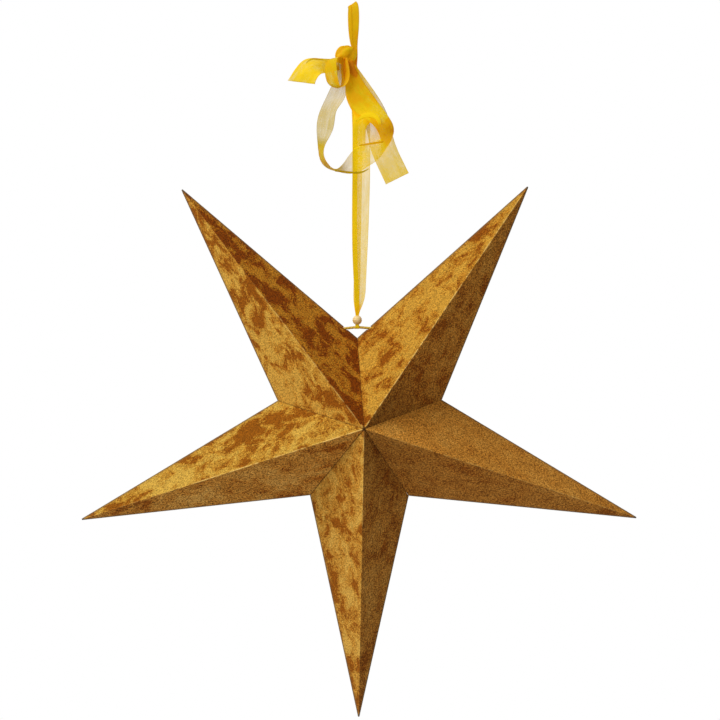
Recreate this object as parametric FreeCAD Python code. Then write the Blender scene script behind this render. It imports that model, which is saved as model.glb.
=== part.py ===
import FreeCAD, Part
import math
import os
from collections import namedtuple
from FreeCAD import Vector

os.makedirs("parts", exist_ok=True)

# A hanging five-pointed star of velvet-faced card, seen from the front along +Y.
# Up is +Z. The origin is the top of the ribbon's hanging loop, where a hook bears.
# All lengths are in millimetres and all angles in degrees.

# The star
point_reach = 316.5       # star centre to the blunt end of a point
notch_reach = 93.3        # star centre to the notch between two points
half_depth = 85.0         # middle plane to the front or back centre
hang_drop = 456.0         # top of the hanging loop down to the star's centre
hang_shift = 5.2          # the star's centre hangs this far to the right of the loop
tip_trim = 3.5            # how much of each sharp point is pressed and trimmed away

# The folded card
card = 0.7                # velvet and card together
flap_width = 10.0         # glue flaps along the valleys
flap_gap = 8.0            # how far from the star's axis the flaps are trimmed off
glue_line = 0.1           # between two flaps that are glued face to face
seam_width = 9.0          # the lap that closes each point into a tube

# The cord that ties the two upper points together
cord_width = 2.8
cord_rise = 11.7          # top notch up to the middle of the cord
hole_from_notch = 16.0    # measured along the outline crease
hole_width = 4.0
cord_tail = 13.0          # from the hole to the middle of the stopper knot
stopper_width = 6.4

# The bead
bead_width = 10.4
bead_bore = 4.0
bead_clearance = 0.15     # ribbon to the wall of the bore
bead_seat = 0.2           # bead to the eye of ribbon below it

# The organza ribbon
ribbon_width = 27.0
ribbon_skin = 0.5         # one layer
gathered_skin = 1.3       # a pleated bundle of layers
eye_skin = 0.8            # the folded end that goes round the cord
eye_width = 4.4
eye_clearance = 0.3
loop_gap = 11.0           # the hanging loop, front leg to back leg
loop_drop = 47.0          # top of the hanging loop down to the knot
bow_drop = 124.0          # knot centre down to the bottom of the bow loop
knot_width = 25.0
knot_depth = 17.0
knot_shift = -11.0        # the knot sits to the left of the loop's top
end_slope = 68.0          # where the knot's rounding stops at its front and back
round_flats = 6           # the knot and the bead are rounded in this many flats
strand_shift = 5.5        # the flat strand's middle is this far to the right of the loop

# What was folded by hand is a little uneven: each point and notch has its own turn
# from its even place, counter-clockwise, and its own share of the even reach.
Point = namedtuple("Point", "name angle turn share")
POINTS = [
    Point("arm_upper_right", 54.0, 0.9, 0.995),
    Point("arm_upper_left", 126.0, 1.2, 1.005),
    Point("arm_lower_left", 198.0, 0.6, 1.0),
    Point("arm_bottom", 270.0, -0.4, 0.999),
    Point("arm_lower_right", 342.0, -0.7, 1.001),
]
Notch = namedtuple("Notch", "angle turn share")
NOTCHES = [
    Notch(18.0, -0.9, 0.986),
    Notch(90.0, 2.3, 1.009),
    Notch(162.0, 1.6, 1.004),
    Notch(234.0, 0.1, 1.003),
    Notch(306.0, -1.9, 0.995),
]

# Worked out from the sizes above
star_centre = Vector(hang_shift, 0, -hang_drop)
front_centre = star_centre + Vector(0, -half_depth, 0)
back_centre = star_centre + Vector(0, half_depth, 0)
behind_axis = 2.0 * flap_width
wide = 4.0 * notch_reach
knot_centre = Vector(knot_shift, 0, -loop_drop - 0.5 * knot_width)


def spoke(angle):
    """The direction at this angle in the star's middle plane."""
    turn = math.radians(angle)
    return Vector(math.cos(turn), 0, math.sin(turn))


def tip_direction(point):
    return spoke(point.angle + point.turn)


def sharp_tip(point):
    """Where the four creased edges of a point would meet if it weren't trimmed."""
    return star_centre + tip_direction(point) * (point_reach * point.share + tip_trim)


def notch_place(notch):
    return star_centre + spoke(notch.angle + notch.turn) * (notch_reach * notch.share)


def notches_of(number):
    """The notches before and after a point, counter-clockwise."""
    return NOTCHES[number], NOTCHES[(number + 1) % len(NOTCHES)]


def crossing(planes):
    """The place where three planes meet, each given as its normal and its offset."""
    (a, da), (b, db), (c, dc) = planes
    top = b.cross(c) * da + c.cross(a) * db + a.cross(b) * dc
    return top * (1.0 / a.dot(b.cross(c)))


def facet_planes(number, inset):
    """The four facets of a point, each moved inwards by the inset, in order round it."""
    tip = sharp_tip(POINTS[number])
    before, after = [notch_place(notch) for notch in notches_of(number)]
    ring = [front_centre, before, back_centre, after]
    middle = (star_centre + tip) * 0.5
    planes = []
    for one, two in zip(ring, ring[1:] + ring[:1]):
        normal = (one - tip).cross(two - tip)
        normal.normalize()
        if normal.dot(middle - tip) > 0:
            normal = normal * -1.0
        planes.append((normal, normal.dot(tip) - inset))
    return planes


def flat_face(corners):
    return Part.Face(Part.makePolygon(corners + corners[:1]))


def pyramid(number, inset):
    """A point's four facets from its tip back to a flat base behind the star's axis."""
    along = tip_direction(POINTS[number])
    base = (along, along.dot(star_centre) - behind_axis)
    planes = facet_planes(number, inset)
    pairs = list(zip(planes, planes[1:] + planes[:1]))
    corners = [crossing((one, two, base)) for one, two in pairs]
    tip = crossing(planes[:3])
    sides = [flat_face([tip, one, two]) for one, two in zip(corners, corners[1:] + corners[:1])]
    shell = Part.Shell(sides + [flat_face(corners)])
    return Part.Solid(shell)


def slab(outline, half_height):
    """A plate on both sides of the star's middle plane, from an outline in that plane."""
    low = [corner - Vector(0, half_height, 0) for corner in outline]
    return flat_face(low).extrude(Vector(0, 2.0 * half_height, 0))


def wedge(number, side_gap):
    """The sector of the star that one point fills, a gap short of each valley plane."""
    point = POINTS[number]
    along = tip_direction(point)
    before, after = notches_of(number)
    first = spoke(before.angle + before.turn)
    last = spoke(after.angle + after.turn)
    opening = last.getAngle(first)
    root = star_centre + (first + last).normalize() * (side_gap / math.sin(0.5 * opening))
    across = Vector(0, 1, 0).cross(along)
    end = star_centre + along * (point_reach * point.share)
    turned = across if across.dot(first) > 0 else across * -1.0
    outline = [root, root + first * wide, end + turned * wide, end - turned * wide, root + last * wide]
    return slab(outline, wide)


def flap(number, notch):
    """The two glue flaps of one valley plane: a V of card, folded inwards."""
    along = spoke(notch.angle + notch.turn)
    half_angle = math.atan2(half_depth, notch_reach * notch.share)
    notch_at = notch_place(notch)
    inner = notch_at - along * (flap_width / math.sin(half_angle))
    reach = (inner - star_centre).dot(along)
    rise = reach * math.tan(half_angle)
    window = [inner, star_centre + Vector(0, rise, 0), star_centre - Vector(0, rise, 0)]
    across = Vector(0, 1, 0).cross(along)
    opening = flat_face([corner - across * card * 3 for corner in window]).extrude(across * card * 6)
    trimmed = [star_centre + along * flap_gap + Vector(0, wide, 0),
               star_centre + along * flap_gap - Vector(0, wide, 0),
               notch_at + along * flap_gap - Vector(0, wide, 0),
               notch_at + along * flap_gap + Vector(0, wide, 0)]
    thickness = card + 0.5 * glue_line
    plate = flat_face([corner - across * thickness for corner in trimmed]).extrude(across * 2 * thickness)
    return plate.cut(opening).common(pyramid(number, 0.0)).common(wedge(number, 0.5 * glue_line))


def seam_lap(number):
    """The lap that closes the folded sheet, inside the back along one outline crease."""
    point = POINTS[number]
    notch_at = notch_place(notches_of(number)[0])
    crease = notch_at - sharp_tip(point)
    crease.normalize()
    inward = Vector(0, 1, 0).cross(crease)
    if inward.dot(star_centre - notch_at) < 0:
        inward = inward * -1.0
    start = notch_at - crease * flap_width
    finish = sharp_tip(point) + crease * (4.0 * seam_width)
    strip = [start, finish, finish + inward * seam_width, start + inward * seam_width]
    block = flat_face(strip).extrude(Vector(0, wide, 0))
    sleeve = pyramid(number, card).cut(pyramid(number, 2.0 * card))
    return sleeve.common(block).common(wedge(number, flap_width))


def hole_place(number, notch):
    """The middle of a punched hole on the outline crease near a notch."""
    notch_at = notch_place(notch)
    crease = sharp_tip(POINTS[number]) - notch_at
    return notch_at + crease.normalize() * hole_from_notch


def cord_middle():
    """The cord's place under the bead, straight above the top notch."""
    return notch_place(NOTCHES[1]) + Vector(0, 0, cord_rise)


def cord_run(number):
    """The cord's direction from the bead out to a hole."""
    run = hole_place(number, NOTCHES[1]) - cord_middle()
    return run.normalize()


def punched_hole(number):
    run = cord_run(number)
    start = hole_place(number, NOTCHES[1]) - run * hole_width
    return Part.makeCylinder(0.5 * hole_width, 2.5 * hole_width, start, run)


def folded_point(number):
    """One point of the star: four facets, the flaps of both valleys and the closing lap."""
    before, after = notches_of(number)
    tube = pyramid(number, 0.0).cut(pyramid(number, card))
    walls = tube.common(wedge(number, 0.5 * glue_line))
    shape = walls.fuse([flap(number, before), flap(number, after), seam_lap(number)])
    return shape.removeSplitter()


def turned(profile, middle, axis):
    """A solid of revolution about an axis, from pairs of a radius and a height."""
    corners = [Vector(radius, 0, height) for radius, height in profile]
    shape = flat_face(corners).revolve(Vector(0, 0, 0), Vector(0, 0, 1), 360)
    shape.Placement = FreeCAD.Placement(middle, FreeCAD.Rotation(Vector(0, 0, 1), axis))
    return shape


def rounding(radius, half_height, last_angle):
    """The rounded side of a ball or barrel, as pairs of a radius and a height."""
    profile = []
    for step in range(round_flats + 1):
        slope = math.radians(last_angle * (2.0 * step / round_flats - 1.0))
        profile.append((radius * math.cos(slope), half_height * math.sin(slope)))
    return profile


def stopper(number):
    """The knot at an end of the cord, drawn tight into a short round bundle."""
    run = cord_run(number)
    start = hole_place(number, NOTCHES[1]) + run * (cord_tail - 0.5 * stopper_width)
    return Part.makeCylinder(0.5 * stopper_width, stopper_width, start, run)


def tie_cord():
    """The tied cord: one run from stopper knot to stopper knot through both points."""
    middle = cord_middle()
    shape = stopper(1)
    for number in (1, 0):
        length = (hole_place(number, NOTCHES[1]) - middle).Length + cord_tail
        shape = shape.fuse(Part.makeCylinder(0.5 * cord_width, length, middle, cord_run(number)))
    return shape.fuse(stopper(0))


def eye_top():
    """The top of the eye of ribbon that goes round the cord."""
    return cord_middle() + Vector(0, 0, 0.5 * cord_width + eye_clearance + eye_skin)


def bead_half_height():
    return math.sqrt((0.5 * bead_width) ** 2 - (0.5 * bead_bore) ** 2)


def bead_centre():
    return eye_top() + Vector(0, 0, bead_seat + bead_half_height())


def bead():
    """A turned ball whose rounding ends at the edge of its bore."""
    edge = math.degrees(math.acos(bead_bore / bead_width))
    return turned(rounding(0.5 * bead_width, 0.5 * bead_width, edge), bead_centre(), Vector(0, 0, 1))


# A ribbon strip runs through a few stations. Each has its place from the knot's centre
# in shares of the bow's drop, the direction across the ribbon there, and the share of
# the full width that it spreads to in that direction.
Station = namedtuple("Station", "place across spread")

LEFT_TAIL = [
    Station(Vector(-0.06, -0.005, -0.04), Vector(-0.1, 0, 1), 0.5),
    Station(Vector(-0.19, -0.015, -0.084), Vector(-0.2, 0, 1), 0.77),
    Station(Vector(-0.272, -0.03, -0.093), Vector(-0.73, 0.1, 1), 0.87),
    Station(Vector(-0.333, -0.05, -0.146), Vector(-1, 0.1, 0.74), 0.94),
    Station(Vector(-0.387, -0.06, -0.23), Vector(-1, 0, 0.15), 1.1),
]
RIGHT_TAIL = [
    Station(Vector(0.035, -0.005, -0.055), Vector(1, 0, 0.5), 0.3),
    Station(Vector(0.135, -0.045, -0.32), Vector(1, -0.1, 0.54), 0.95),
    Station(Vector(0.262, -0.06, -0.55), Vector(1, 0.1, 0.47), 1.0),
    Station(Vector(0.315, -0.06, -0.76), Vector(1, 0.1, 0.35), 1.0),
    Station(Vector(0.447, -0.045, -1.057), Vector(1, 0, 0.5), 1.02),
]
BOW_LOOP = [
    Station(Vector(-0.03, 0.015, -0.05), Vector(-1, 0.4, 0.2), 0.34),
    Station(Vector(-0.06, 0.032, -0.28), Vector(-1, 0.78, 0.7), 0.84),
    Station(Vector(-0.147, 0.01, -0.45), Vector(-1, 0.85, 0.37), 0.86),
    Station(Vector(-0.183, -0.04, -0.619), Vector(-1, 0.85, 0.21), 0.88),
    Station(Vector(-0.213, -0.108, -0.83), Vector(-0.22, 1, 0), 0.95),
    Station(Vector(-0.125, -0.142, -0.982), Vector(-0.07, 1, -0.1), 0.96),
    Station(Vector(0.01, -0.147, -0.955), Vector(0.08, 0.9, -0.55), 0.96),
    Station(Vector(0.195, -0.161, -0.859), Vector(0.06, 0.35, -1), 0.92),
    Station(Vector(0.318, -0.17, -0.755), Vector(0.6, 0.65, -0.6), 0.8),
    Station(Vector(0.335, -0.16, -0.635), Vector(1, 0.7, 0), 0.86),
    Station(Vector(0.242, -0.137, -0.5), Vector(1, 0.1, 0.2), 0.93),
    Station(Vector(0.12, -0.1, -0.34), Vector(1, 0, 0.55), 0.92),
    Station(Vector(0.03, -0.035, -0.06), Vector(1, 0, 0.4), 0.36),
]
SMALL_LOOP = [
    Station(Vector(-0.034, -0.05, -0.01), Vector(-0.5, 1, 0.15), 0.33),
    Station(Vector(-0.135, -0.098, -0.06), Vector(-0.7, 1, 0), 0.55),
    Station(Vector(-0.135, -0.105, -0.205), Vector(-0.75, 1, 0), 0.56),
    Station(Vector(-0.065, -0.105, -0.277), Vector(-0.5, 1, 0), 0.52),
    Station(Vector(-0.006, -0.1, -0.2), Vector(-0.45, 1, 0), 0.47),
    Station(Vector(-0.008, -0.05, -0.015), Vector(-0.65, 1, 0.15), 0.3),
]


def section(place, across, along, width, skin):
    """The corners of a thin rectangle across a strip."""
    side = Vector(across).normalize() * (0.5 * width)
    lift = along.cross(side).normalize() * (0.5 * skin)
    return [place + side + lift, place - side + lift, place - side - lift, place + side - lift]


def smooth_edge(corners, marks):
    """A smooth line through one corner of every section."""
    curve = Part.BSplineCurve()
    curve.interpolate(Points=corners, Parameters=marks)
    return curve.toShape()


def strip(stations, skin, start=knot_centre, scale=bow_drop):
    """One run of ribbon through its stations, measured from a start point."""
    places = [start + station.place * scale for station in stations]
    marks = [0.0]
    for one, two in zip(places, places[1:]):
        marks.append(marks[-1] + math.sqrt((two - one).Length))
    sections = []
    for number, station in enumerate(stations):
        ahead = places[min(number + 1, len(places) - 1)]
        behind = places[max(number - 1, 0)]
        width = station.spread * ribbon_width
        sections.append(section(places[number], station.across, ahead - behind, width, skin))
    edges = [smooth_edge([corners[side] for corners in sections], marks) for side in range(4)]
    faces = [Part.makeRuledSurface(one, two, 1) for one, two in zip(edges, edges[1:] + edges[:1])]
    faces += [flat_face(sections[0]), flat_face(sections[-1])]
    shell = Part.makeShell(faces)
    shell.sewShape()
    solid = Part.makeSolid(shell)
    return solid.reversed() if solid.Volume < 0 else solid


def hanging_loop():
    """The gathered loop at the top: up in front, over the hook and down behind."""
    half = 0.5 * loop_gap / loop_drop
    flat = Vector(1, 0, 0)
    front = [
        Station(Vector(-0.06, -0.25 * half, -1.1), flat, 0.25),
        Station(Vector(-0.05, -0.8 * half, -0.8), flat, 0.36),
        Station(Vector(-0.05, -half, -0.47), flat, 0.44),
        Station(Vector(-0.05, -0.75 * half, -0.17), flat, 0.42),
        Station(Vector(-0.045, -0.4 * half, -0.06), Vector(1, 0, 0.4), 0.37),
    ]
    top = Station(Vector(-0.035, 0, -0.025), Vector(1, 0, 0.7), 0.32)
    back = [Station(Vector(s.place.x, -s.place.y, s.place.z), s.across, s.spread) for s in front]
    return strip(front + [top] + back[::-1], gathered_skin, Vector(0, 0, 0), loop_drop)


def strands():
    """The two strands from the knot to the bead: one bunched up, one spread flat."""
    foot = bead_centre() + Vector(0, 0, bead_half_height() - bead_clearance)
    head = knot_centre.z - 0.3 * knot_width
    drop = head - foot.z
    flat = Vector(1, 0, 0)
    neck = 0.7 * bead_bore / ribbon_width
    side = strand_shift / drop
    low = foot.x / drop
    bunched = [
        Station(Vector(-1.5 * side, -0.003, 0), flat, 0.2),
        Station(Vector(-0.9 * side, -0.004, -0.1), flat, 0.2),
        Station(Vector(-0.35 * side, -0.004, -0.2), flat, 0.21),
        Station(Vector(-0.2 * side, -0.004, -0.7), flat, 0.2),
        Station(Vector(low, -0.0035, -0.93), flat, 0.16),
        Station(Vector(low, -0.0015, -1), flat, neck),
    ]
    spread = [
        Station(Vector(-0.6 * side, 0.0035, 0), flat, 0.3),
        Station(Vector(0, 0.004, -0.06), flat, 0.45),
        Station(Vector(side, 0.004, -0.15), flat, 0.7),
        Station(Vector(side, 0.004, -0.66), flat, 0.7),
        Station(Vector(0.7 * side, 0.004, -0.73), flat, 0.6),
        Station(Vector(0.7 * side, 0.004, -0.87), flat, 0.5),
        Station(Vector(0.5 * low + 0.25 * side, 0.003, -0.95), flat, 0.32),
        Station(Vector(low, 0.002, -1), flat, neck),
    ]
    start = Vector(0, 0, head)
    return [strip(bunched, gathered_skin, start, drop), strip(spread, ribbon_skin, start, drop)]


def neck_and_eye():
    """The ribbon squeezed through the bead's bore, and its eye round the cord."""
    middle = cord_middle()
    inner = 0.5 * cord_width + eye_clearance
    start = middle - Vector(0.5 * eye_width, 0, 0)
    eye = Part.makeCylinder(inner + eye_skin, eye_width, start, Vector(1, 0, 0))
    through = Part.makeCylinder(inner, 2.0 * eye_width, start - Vector(0.5 * eye_width, 0, 0), Vector(1, 0, 0))
    foot = middle + Vector(0, 0, inner + 0.3 * eye_skin)
    top = bead_centre() + Vector(0, 0, bead_half_height())
    radius = 0.5 * bead_bore - bead_clearance
    neck = Part.makeCylinder(radius, top.z - foot.z, foot)
    return eye.fuse(neck).cut(through)


def knot():
    """The tied knot: a flattened ball of wrapped ribbon with a small flat in front and behind."""
    side = rounding(0.5 * knot_width, 0.5 * knot_depth, end_slope)
    return turned([(0, side[0][1])] + side + [(0, side[-1][1])], knot_centre, Vector(0, 1, 0))


def ribbon():
    """The whole organza ribbon, one length tied into a knot with its loops and tails."""
    shape = knot()
    runs = [
        hanging_loop(),
        strip(LEFT_TAIL, ribbon_skin),
        strip(RIGHT_TAIL, ribbon_skin),
        strip(BOW_LOOP, ribbon_skin),
        strip(SMALL_LOOP, ribbon_skin),
        neck_and_eye(),
    ]
    for run in runs + strands():
        shape = shape.fuse(run)
    return shape


def save(name, shape):
    solids = shape.Solids
    print(name, "solids", len(solids), "valid", shape.isValid(), "volume", round(shape.Volume, 1))
    whole = solids[0] if len(solids) == 1 else shape
    whole.exportStep("parts/" + name + ".step")


for number, point in enumerate(POINTS):
    arm = folded_point(number)
    if number < 2:
        arm = arm.cut(punched_hole(number))
    save(point.name, arm)
save("tie_cord", tie_cord())
save("bead", bead())
save("ribbon", ribbon())
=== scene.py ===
"""Dresses a hanging star of folded velvet-faced card, with its cord, bead and organza bow.

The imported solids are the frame. The five folded points, the cord and the bead keep their
solids and get their finishes here. The ribbon's soft solid is replaced by a sheer pleated one.
"""

import logging
import math
from dataclasses import dataclass, field, replace
from enum import Enum
from typing import Any, Callable, Sequence

import bmesh
import bpy
import numpy as np
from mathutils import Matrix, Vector, noise


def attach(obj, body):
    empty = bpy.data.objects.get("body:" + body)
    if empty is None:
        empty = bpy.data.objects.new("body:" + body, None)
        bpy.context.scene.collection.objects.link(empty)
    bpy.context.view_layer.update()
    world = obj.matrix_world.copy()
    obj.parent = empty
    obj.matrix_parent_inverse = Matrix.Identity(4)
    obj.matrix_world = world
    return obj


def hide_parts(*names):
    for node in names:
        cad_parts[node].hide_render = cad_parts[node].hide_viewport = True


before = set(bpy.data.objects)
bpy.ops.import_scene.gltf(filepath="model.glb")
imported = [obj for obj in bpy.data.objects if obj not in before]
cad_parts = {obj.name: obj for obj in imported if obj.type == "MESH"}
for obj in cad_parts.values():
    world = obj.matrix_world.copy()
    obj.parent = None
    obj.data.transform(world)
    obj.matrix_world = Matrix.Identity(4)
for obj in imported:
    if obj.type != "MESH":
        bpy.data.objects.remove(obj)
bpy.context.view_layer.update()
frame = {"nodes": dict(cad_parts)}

LOG = logging.getLogger("star")
MM = 0.001

# Places and sizes of the solids, in metres
STAR_CENTRE = Vector((5.2, 0.0, -456.0)) * MM
POINT_REACH = 316.5 * MM
KNOT_CENTRE = Vector((-11.0, 0.0, -59.5)) * MM
BOW_DROP = 124.0 * MM
LOOP_DROP = 47.0 * MM
LOOP_HALF_GAP = 5.5 * MM
RIBBON_WIDTH = 27.0 * MM
RIGHT, BACK, UP = Vector((1.0, 0.0, 0.0)), Vector((0.0, 1.0, 0.0)), Vector((0.0, 0.0, 1.0))

# What the ribbon's mesh keeps at each corner and point
SURFACE = "length_and_width"
MARKS = ("layers", "richness", "painted_glow")
OUTWARD = "outward"

Three = tuple[float, float, float]
Colour = Three


class Blend(Enum):
    """The ways in which one colour goes over another."""

    OVER = "MIX"
    DARKEN = "MULTIPLY"


@dataclass(frozen=True)
class Value:
    """A number that a node gives out, with Python's operators as Math nodes."""

    graph: "Graph"
    socket: bpy.types.NodeSocket

    def _math(self, operation: str, *items: Any) -> "Value":
        """Adds one Math node on these items."""
        made = self.graph.node("ShaderNodeMath", dict(enumerate(items)), operation=operation)
        return made.value()

    def __add__(self, other: Any) -> "Value":
        """Self plus other."""
        return self._math("ADD", self, other)

    __radd__ = __add__

    def __sub__(self, other: Any) -> "Value":
        """Self less other."""
        return self._math("SUBTRACT", self, other)

    def __rsub__(self, other: Any) -> "Value":
        """Other less self."""
        return self._math("SUBTRACT", other, self)

    def __mul__(self, other: Any) -> "Value":
        """Self times other."""
        return self._math("MULTIPLY", self, other)

    __rmul__ = __mul__

    def __pow__(self, other: Any) -> "Value":
        """Self to the power of other."""
        return self._math("POWER", self, other)

    def __rpow__(self, other: Any) -> "Value":
        """Other to the power of self."""
        return self._math("POWER", other, self)

    def __abs__(self) -> "Value":
        """The size of self."""
        return self._math("ABSOLUTE", self)

    def sine(self) -> "Value":
        """The sine of self."""
        return self._math("SINE", self)

    def angle_over(self, other: Any) -> "Value":
        """The angle whose tangent is self over other."""
        return self._math("ARCTAN2", self, other)

    def lower_of(self, other: Any) -> "Value":
        """The lower of self and other."""
        return self._math("MINIMUM", self, other)

    def higher_of(self, other: Any) -> "Value":
        """The higher of self and other."""
        return self._math("MAXIMUM", self, other)

    def between(self, start: float, end: float) -> "Value":
        """The number that lies self's share of the way from start to end."""
        return self * (end - start) + start

    def ease(self, low: float, high: float, start: float = 0.0, end: float = 1.0) -> "Value":
        """Moves smoothly from start to end while self goes from low to high.

        Args:
            low: Self's value where the change begins.
            high: Self's value where it is complete.
            start: The result at low.
            end: The result at high.

        Returns:
            The eased number.
        """
        items = {"Value": self, "From Min": low, "From Max": high, "To Min": start, "To Max": end}
        kind = "ShaderNodeMapRange"
        return self.graph.node(kind, items, interpolation_type="SMOOTHSTEP", clamp=True).value()


@dataclass(frozen=True)
class Node:
    """One node of a material."""

    graph: "Graph"
    node: bpy.types.Node

    def out(self, name: str | int = 0) -> bpy.types.NodeSocket:
        """The named or numbered output socket."""
        return self.node.outputs[name]

    def value(self, name: str | int = 0) -> Value:
        """An output as a number to reckon with."""
        return Value(self.graph, self.out(name))


class Graph:
    """Nodes added one by one to a material or to the world round the object."""

    def __init__(self, owner: bpy.types.Material | bpy.types.World, end_kind: str) -> None:
        """Clears the owner's nodes down to one output node.

        Args:
            owner: The material or world that the nodes belong to.
            end_kind: The output node's type.
        """
        owner.use_nodes = True
        self.owner = owner
        self.tree = owner.node_tree
        self.tree.nodes.clear()
        self.end = self.node(end_kind)

    def node(self, kind: str, items: dict[Any, Any] | None = None, **settings: Any) -> Node:
        """Adds a node, sets it up and fills its sockets.

        Args:
            kind: The node's type.
            items: What each input socket, by name or number, holds or is linked to.
            settings: Its properties, which are set first.

        Returns:
            The new node.
        """
        made = self.tree.nodes.new(kind)
        for key, setting in settings.items():
            setattr(made, key, setting)
        for key, item in (items or {}).items():
            self.feed(made.inputs[key], item)
        return Node(self, made)

    def feed(self, socket: bpy.types.NodeSocket, item: Any) -> None:
        """Links an item to a socket, or sets the socket to it.

        Args:
            socket: The input socket.
            item: A value, an output socket, a number or a few numbers.
        """
        if isinstance(item, Value):
            item = item.socket
        if isinstance(item, bpy.types.NodeSocket):
            self.tree.links.new(item, socket)
        elif socket.type == "RGBA":
            socket.default_value = (*item, 1.0)
        else:
            socket.default_value = item

    def mix(
        self, share: Any, first: Any, second: Any, blend: Blend = Blend.OVER
    ) -> bpy.types.NodeSocket:
        """Mixes two colours.

        Args:
            share: How much of the second colour, from 0 to 1.
            first: The first colour.
            second: The second colour.
            blend: The way of mixing.

        Returns:
            The mixed colour's socket.
        """
        items = {0: share, 6: first, 7: second}
        settings = {"data_type": "RGBA", "blend_type": blend.value, "clamp_factor": True}
        return self.node("ShaderNodeMix", items, **settings).out(2)

    def place(self) -> bpy.types.NodeSocket:
        """The point in the object's own coordinates, in metres."""
        return self.node("ShaderNodeTexCoord").out("Object")

    def _vector(self, operation: str, one: Any, two: Sequence[float]) -> Node:
        """Adds one Vector Math node."""
        return self.node("ShaderNodeVectorMath", {0: one, 1: two}, operation=operation)

    def shift(self, vector: Any, by: Sequence[float]) -> bpy.types.NodeSocket:
        """The vector less a fixed one."""
        return self._vector("SUBTRACT", vector, by).out()

    def stretch(self, vector: Any, by: Sequence[float]) -> bpy.types.NodeSocket:
        """The vector with each coordinate multiplied."""
        return self._vector("MULTIPLY", vector, by).out()

    def along(self, vector: Any, direction: Sequence[float]) -> Value:
        """How far the vector goes in a direction."""
        return self._vector("DOT_PRODUCT", vector, direction).value("Value")

    def join(self, x: Any, y: Any, z: Any) -> bpy.types.NodeSocket:
        """A vector of three numbers."""
        return self.node("ShaderNodeCombineXYZ", {0: x, 1: y, 2: z}).out()

    def clouds(
        self, vector: Any, scale: float, detail: float = 3.0, rough: float = 0.55, warp: float = 0.0
    ) -> Value:
        """Soft random blotches from 0 to 1.

        Args:
            vector: Where the pattern is read.
            scale: Blotches to the metre.
            detail: How many finer layers are added.
            rough: How strong the finer layers are.
            warp: How far the blotches are pulled out of shape.

        Returns:
            The pattern's value.
        """
        items = {"Vector": vector, "Scale": scale, "Detail": detail, "Roughness": rough}
        return self.node("ShaderNodeTexNoise", items | {"Distortion": warp}).value("Fac")

    def attribute(self, name: str) -> Value:
        """A number that the mesh holds at each point."""
        return self.node("ShaderNodeAttribute", attribute_name=name).value("Fac")

    def bump(self, height: Any, depth: float, strength: float) -> bpy.types.NodeSocket:
        """The surface's direction, roughened by a height pattern.

        Args:
            height: The height pattern, from 0 to 1.
            depth: How far 1 stands out, in metres.
            strength: How strongly it shows.

        Returns:
            The normal's socket.
        """
        items = {"Strength": strength, "Distance": depth, "Height": height}
        return self.node("ShaderNodeBump", items).out()

    def finish(self, shader: Any) -> None:
        """Links a shader to the output node."""
        self.feed(self.end.node.inputs["Surface"], shader)


class Finish(Graph):
    """A material built up from nodes."""

    def __init__(self, name: str) -> None:
        """Starts a material by its name."""
        super().__init__(bpy.data.materials.new(name), "ShaderNodeOutputMaterial")

    def surface(self, **sockets: Any) -> bpy.types.Material:
        """Adds the principled shader and links it to the output.

        Args:
            sockets: Its inputs, with spaces in the names written as underscores.

        Returns:
            The finished material.
        """
        items = {name.replace("_", " "): item for name, item in sockets.items()}
        self.finish(self.node("ShaderNodeBsdfPrincipled", items).out())
        return self.owner


def put_in_scene(name: str, data: Any) -> bpy.types.Object:
    """Makes an object from its data and links it to the scene."""
    made = bpy.data.objects.new(name, data)
    bpy.context.scene.collection.objects.link(made)
    return made


def object_of(name: str, mesh: bmesh.types.BMesh, material: bpy.types.Material) -> bpy.types.Object:
    """Makes an object of the scene.

    Args:
        name: Its name.
        mesh: Its shape, which is used up.
        material: Its finish.

    Returns:
        The object.
    """
    data = bpy.data.meshes.new(name)
    mesh.to_mesh(data)
    mesh.free()
    data.materials.append(material)
    return put_in_scene(name, data)


@dataclass(frozen=True)
class Pile:
    """How the velvet lies on one facet of a point.

    Attributes:
        dark_share: How much of it lies dark.
        contrast: How strongly its blotches stand out.
        tint_and_painted_light: What its colour is multiplied by: partly the velvet's own tone and
            partly painted light and shade, which make the whole facet lighter or darker.
        grain: How strongly its fine grain stands out.
        painted_centre_shade: Painted shade near the star's centre: what its brightness is
            multiplied by there. Where it is above 1, it paints light instead.
    """

    dark_share: float
    contrast: float
    tint_and_painted_light: Colour
    grain: float
    painted_centre_shade: float = 1.0


@dataclass(frozen=True)
class Valley:
    """A joint between two points: its direction and how dark its line is."""

    angle: float
    dark: float


@dataclass(frozen=True)
class RubAndHighlight:
    """Where a ridge shows rubbing and a painted highlight, as shares of the point's reach, and how
    strongly.
    """

    first: float
    last: float
    strength: float


@dataclass(frozen=True)
class FoldedPoint:
    """One point of the star: its node, its directions and the look of its facets.

    Attributes:
        node: The name of its solid.
        angle: The direction of its tip.
        valleys: The joints before and after it, counter-clockwise.
        share: Its share of the even reach.
        rub_and_highlight: The stretch of its ridge that shows rubbing and a painted highlight.
        before: The pile on the facet before the ridge.
        after: The pile on the facet after the ridge.
        seed: Where its blotches are read from.
    """

    node: str
    angle: float
    valleys: tuple[Valley, Valley]
    share: float
    rub_and_highlight: RubAndHighlight
    before: Pile
    after: Pile
    seed: float


def spoke(angle: float) -> Vector:
    """The direction at an angle in the star's middle plane."""
    turn = math.radians(angle)
    return Vector((math.cos(turn), 0.0, math.sin(turn)))


def beside(angle: float) -> Vector:
    """The direction square to a spoke in the star's middle plane."""
    return spoke(angle).cross(BACK)


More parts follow.
